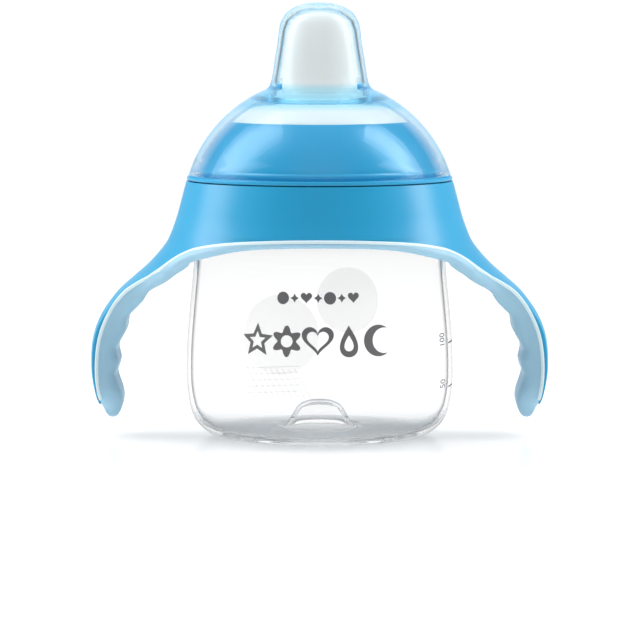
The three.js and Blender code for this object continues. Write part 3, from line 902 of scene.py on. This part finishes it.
# ---- Spill valve ----
# A hard white cup that pushes up into the spout's socket, a slit silicone disc under its ports, and a
# holder with a pull tab that clips the disc in from below.
hard_white, hard_white_shader = shader(
    "valve_polypropylene",
    Base_Color=(0.8, 0.81, 0.8, 1),
    Subsurface_Weight=0.1,
    Subsurface_Scale=0.002,
)
grain(hard_white, hard_white_shader, 0.5, 0.08, (0.28, 0.4))

housing_outline = [
    (0, 89.2), (8.6, 89.2, 0.3), (8.6, 82.6, 0.2), (12.6, 82.6, 0.3), (12.6, 83.9, 0.3),
    (10, 83.9, 0.3), (10, 90.6, 0.6), (4, 90.6), (0, 90.6),
]
housing = turned("valve_housing_white", housing_outline, 96)
ports = [math.radians(60 * k) for k in range(6)]
drilled(housing, [(1.3, 5 * math.cos(a), 5 * math.sin(a), 88, 92) for a in ports])
fit(housing, hard_white, "valve", "valve_plastic", "valve_housing")

disc_outline = [
    (0, 87.3), (6.4, 87.3, 0.3), (6.9, 86.6, 0.2), (8.3, 86.6, 0.3), (8.3, 88.9, 0.3), (6.9, 88.9, 0.2),
    (6.4, 88, 0.3), (0, 88),
]
disc = turned("valve_diaphragm_silicone", disc_outline, 96)
slits = [((-3.5, -0.12, 86), (3.5, 0.12, 89), turn) for turn in (0, math.pi / 2)]
for slit in slits:
    blade = solid("blade", *blocks([slit]))
    cut = disc.modifiers.new("slit", "BOOLEAN")
    cut.object = blade
    mesh = bpy.data.meshes.new_from_object(disc.evaluated_get(bpy.context.evaluated_depsgraph_get()))
    disc.modifiers.clear()
    disc.data = mesh
    bpy.data.objects.remove(blade)
fit(disc, silicone, "valve_lower", "silicone", "valve_diaphragm")

holder_outline = [
    (0, 81), (11.5, 81, 0.3), (11.5, 82.3, 0.3), (8.3, 82.3, 0.2), (8.3, 86.3, 0.3),
    (6.9, 86.3, 0.3), (6.9, 82.3, 0.2), (0, 82.3),
]
holder_disc = turned("holder_disc", holder_outline, 96)
low_ports = [math.radians(30 + 60 * k) for k in range(6)]
drilled(holder_disc, [(1.1, 4.4 * math.cos(a), 4.4 * math.sin(a), 80, 83) for a in low_ports])
tab = solid("holder_tab", *blocks([((-4.5, -0.8, 77.6), (4.5, 0.8, 81.2), 0)]))
soft_corners = tab.modifiers.new("soft_corners", "BEVEL")
soft_corners.width = 0.5 * mm
soft_corners.segments = 3
tab.data = bpy.data.meshes.new_from_object(tab.evaluated_get(bpy.context.evaluated_depsgraph_get()))
tab.modifiers.clear()
holder = joined("valve_holder_white", [holder_disc, tab])
fit(holder, hard_white, "valve_lower", "valve_plastic", "valve_holder")


# ---- Travel cap ----
# A clear, faintly blue moulding that presses over the ring: a dome, a tall cover for the mouthpiece,
# and a thick collar inside that seals on the spout's foot. A deeper blue band is painted round it at the
# collar's height.
cap_dome = arc(38.5, 61.7, range(19, 66, 2))
cap_lining = arc(37.5, 60.7, range(60, 24, -2))
cap_crown = curved([
    (12.6, 105.2), (11.85, 109.7), (11.45, 113), (11.05, 115.3), (10.5, 116.5), (9.9, 117.6),
    (9, 118.7),
    (7.1, 119.9), (4.6, 120.8), (2, 121.23), (0, 121.28),
], 4)
cap_outline = (
    [(0, 119.25), (1.2, 119.35), (2.6, 119.7), (5, 119.1), (7.4, 117.9), (9, 116), (9.9, 113.6),
     (10.4, 110), (11, 106), (11.8, 101.5)]
    + [(12.4, 97.6), (12.8, 95.4), (12.8, 92.8, 0.4), (17.6, 92.8, 0.5)]
    + cap_lining
    + [(35.3, 75.3), (35.45, 74.6), (35.2, 73.9), (35.5, 73.2, 0.15), (36.75, 73.2, 0.3)]
    + cap_dome
    + [(15, 97.1), (14, 98.1), (13.5, 99.6), (13.15, 101.4)]
    + cap_crown
)


def painted_edge_shade(material, face, edge, from_facing):
    """Painted shade: clear plastic is painted darker and bluer where it is seen edge on. This stands in for
    the dark edge lines of grazing reflections, and a little of it is the plastic's own blue over the longer
    path.
    """
    nodes, links = material.node_tree.nodes, material.node_tree.links
    facing = nodes.new("ShaderNodeLayerWeight")
    facing.inputs["Blend"].default_value = 0.5
    shade_ramp = nodes.new("ShaderNodeValToRGB")
    shade_ramp.color_ramp.elements[0].position = from_facing
    shade_ramp.color_ramp.elements[0].color = (*face, 1)
    shade_ramp.color_ramp.elements[1].position = 1
    shade_ramp.color_ramp.elements[1].color = (*edge, 1)
    links.new(facing.outputs["Facing"], shade_ramp.inputs["Fac"])
    return shade_ramp


def fade_at_edge(material, principled, from_facing):
    """Seen nearly edge on, the plastic turns less clear, so the painted edge shade shows instead of what is
    behind it.
    """
    nodes, links = material.node_tree.nodes, material.node_tree.links
    facing = nodes.new("ShaderNodeLayerWeight")
    facing.inputs["Blend"].default_value = 0.5
    clearness = nodes.new("ShaderNodeMapRange")
    clearness.inputs["From Min"].default_value = from_facing
    clearness.inputs["To Min"].default_value = 1
    clearness.inputs["To Max"].default_value = 0.1
    links.new(facing.outputs["Facing"], clearness.inputs["Value"])
    links.new(clearness.outputs["Result"], principled.inputs["Transmission Weight"])


tinted, tinted_shader = shader("tinted_polypropylene", IOR=1.17, Transmission_Weight=1.0, Roughness=0.02)
# Painted shade: the cap is painted deep blue where it is seen edge on.
shade_ramp = painted_edge_shade(tinted, (0.995, 0.998, 1), (0.05, 0.46, 0.8), 0.52)
soak = tinted.node_tree.nodes.new("ShaderNodeVolumeAbsorption")
soak.inputs["Color"].default_value = (0.12, 0.76, 0.96, 1)
soak.inputs["Density"].default_value = 65
tinted_nodes, tinted_links = tinted.node_tree.nodes, tinted.node_tree.links
tinted_links.new(soak.outputs["Volume"], tinted_nodes["Material Output"].inputs["Volume"])
fade_at_edge(tinted, tinted_shader, 0.54)
grain(tinted, tinted_shader, 9, 0.04, (0.01, 0.035), (1, 1, 0.4))
let_lamps_through(tinted, tinted_shader, (1, 1, 1))

# A deeper blue band is painted round the cap between these two heights.
band_low, band_high = 90 * mm, 100 * mm
place = tinted_nodes.new("ShaderNodeTexCoord")
height = tinted_nodes.new("ShaderNodeSeparateXYZ")
blue_band_ramp = tinted_nodes.new("ShaderNodeValToRGB")
blue_band_ramp.color_ramp.interpolation = "EASE"
lift = tinted_nodes.new("ShaderNodeMapRange")
lift.inputs["From Min"].default_value = band_low
lift.inputs["From Max"].default_value = band_high
blue_band_ramp.color_ramp.elements[0].position = 0.1
blue_band_ramp.color_ramp.elements[0].color = (1, 1, 1, 1)
blue_band_ramp.color_ramp.elements[1].position = 0.95
blue_band_ramp.color_ramp.elements[1].color = (1, 1, 1, 1)
for position in (0.3, 0.7):
    collar = blue_band_ramp.color_ramp.elements.new(position)
    collar.color = (0.62, 0.87, 0.96, 1)
deeper = tinted_nodes.new("ShaderNodeMix")
deeper.data_type = "RGBA"
deeper.blend_type = "MULTIPLY"
deeper.inputs["Factor"].default_value = 1
tinted_links.new(place.outputs["Object"], height.inputs["Vector"])
tinted_links.new(height.outputs["Z"], lift.inputs["Value"])
tinted_links.new(lift.outputs["Result"], blue_band_ramp.inputs["Fac"])
tinted_links.new(shade_ramp.outputs["Color"], deeper.inputs["A"])
tinted_links.new(blue_band_ramp.outputs["Color"], deeper.inputs["B"])
tinted_links.new(deeper.outputs["Result"], tinted_shader.inputs["Base Color"])

travel_cap = turned("travel_cap_clear", cap_outline, 180)
fit(travel_cap, tinted, "cap", "cap_plastic", "travel_cap")


# ---- Studio ----
# A white table with a faint sheen under an even white sky, with a softbox high on each side and a
# long lens a metre away, a little above the cup.
floor_mesh = bpy.data.meshes.new("table_top")
half_side = 3
table_height = -0.06 * mm
corner_signs = ((-1, -1), (1, -1), (1, 1), (-1, 1))
floor_corners = [(half_side * x, half_side * y, table_height) for x, y in corner_signs]
floor_mesh.from_pydata(floor_corners, [], [(0, 1, 2, 3)])
table_top = bpy.data.objects.new("table_top", floor_mesh)
bpy.context.scene.collection.objects.link(table_top)
table_white, table_shader = shader("white_table", Base_Color=(0.83, 0.83, 0.83, 1), Specular_IOR_Level=0.4)
table_shader.inputs["Emission Color"].default_value = (1, 1, 1, 1)
table_shader.inputs["Emission Strength"].default_value = 0.06
grain(table_white, table_shader, 40, 0.01, (0.18, 0.22))
floor_mesh.materials.append(table_white)

world = bpy.data.worlds.new("studio")
bpy.context.scene.world = world
world.use_nodes = True
sky_nodes, sky_links = world.node_tree.nodes, world.node_tree.links
sky = sky_nodes["Background"]
sky.inputs["Color"].default_value = (1, 1, 1, 1)
rays = sky_nodes.new("ShaderNodeLightPath")
direction = sky_nodes.new("ShaderNodeTexCoord")
parts = sky_nodes.new("ShaderNodeSeparateXYZ")
sky_links.new(direction.outputs["Generated"], parts.inputs["Vector"])


def sky_range(value, low, high, at_low, at_high):
    """A smooth change of brightness from one value to another."""
    node = sky_nodes.new("ShaderNodeMapRange")
    node.interpolation_type = "SMOOTHSTEP"
    for socket, number in (("From Min", low), ("From Max", high), ("To Min", at_low), ("To Max", at_high)):
        node.inputs[socket].default_value = number
    sky_links.new(value, node.inputs["Value"])
    return node.outputs["Result"]


def sky_choice(share, one, two):
    """The first brightness, or the second one where share is 1."""
    node = sky_nodes.new("ShaderNodeMix")
    sky_links.new(share, node.inputs["Factor"])
    sky_links.new(one, node.inputs["A"])
    if isinstance(two, float):
        node.inputs["B"].default_value = two
    else:
        sky_links.new(two, node.inputs["B"])
    return node.outputs["Result"]


sideways = sky_nodes.new("ShaderNodeMath")
sideways.operation = "ABSOLUTE"
sky_links.new(parts.outputs["X"], sideways.inputs[0])
on_surfaces = sky_range(parts.outputs["Y"], -0.95, 0.4, 0.3, 1.4)
in_gloss = sky_nodes.new("ShaderNodeMath")
in_gloss.operation = "MULTIPLY"
sky_links.new(sky_range(parts.outputs["Y"], -0.95, 0.4, 0.3, 1.02), in_gloss.inputs[0])
sky_links.new(sky_range(sideways.outputs["Value"], 0.1, 0.35, 1, 0.35), in_gloss.inputs[1])
through_clear = sky_range(sideways.outputs["Value"], 0.2, 0.6, 1.05, 0.25)
lit = sky_choice(rays.outputs["Is Glossy Ray"], on_surfaces, in_gloss.outputs["Value"])
lit = sky_choice(rays.outputs["Transmission Depth"], lit, through_clear)
lit = sky_choice(rays.outputs["Is Camera Ray"], lit, 1.05)
sky_links.new(lit, sky.inputs["Strength"])

aim = Vector((0, 0, 0.07))


def softbox(name, azimuth, elevation, distance, width, height, watts):
    """A rectangular lamp aimed at the cup. Azimuth 0 is the camera's side and grows to the right."""
    lamp = bpy.data.lights.new(name, "AREA")
    lamp.shape = "RECTANGLE"
    lamp.size = width
    lamp.size_y = height
    lamp.energy = watts
    a, e = math.radians(azimuth), math.radians(elevation)
    toward = Vector((math.sin(a) * math.cos(e), -math.cos(a) * math.cos(e), math.sin(e)))
    lamp_object = bpy.data.objects.new(name, lamp)
    lamp_object.location = aim + toward * distance
    lamp_object.rotation_mode = "QUATERNION"
    lamp_object.rotation_quaternion = toward.to_track_quat("Z", "Y")
    bpy.context.scene.collection.objects.link(lamp_object)


softbox("softbox_left", -98, 38, 0.8, 0.45, 0.9, 4.8)
softbox("softbox_right", 96, 36, 0.8, 0.3, 0.8, 4)

camera_data = bpy.data.cameras.new("camera")
camera_data.lens = 192.9
camera_data.sensor_width = 36
camera = bpy.data.objects.new("camera", camera_data)
camera.location = (0.0001, -0.960, 0.1197)
tilt_down = 5.2
camera.rotation_euler = (math.radians(90 - tilt_down), 0, 0)
bpy.context.scene.collection.objects.link(camera)
bpy.context.scene.camera = camera
bpy.context.scene.view_settings.view_transform = "Standard"
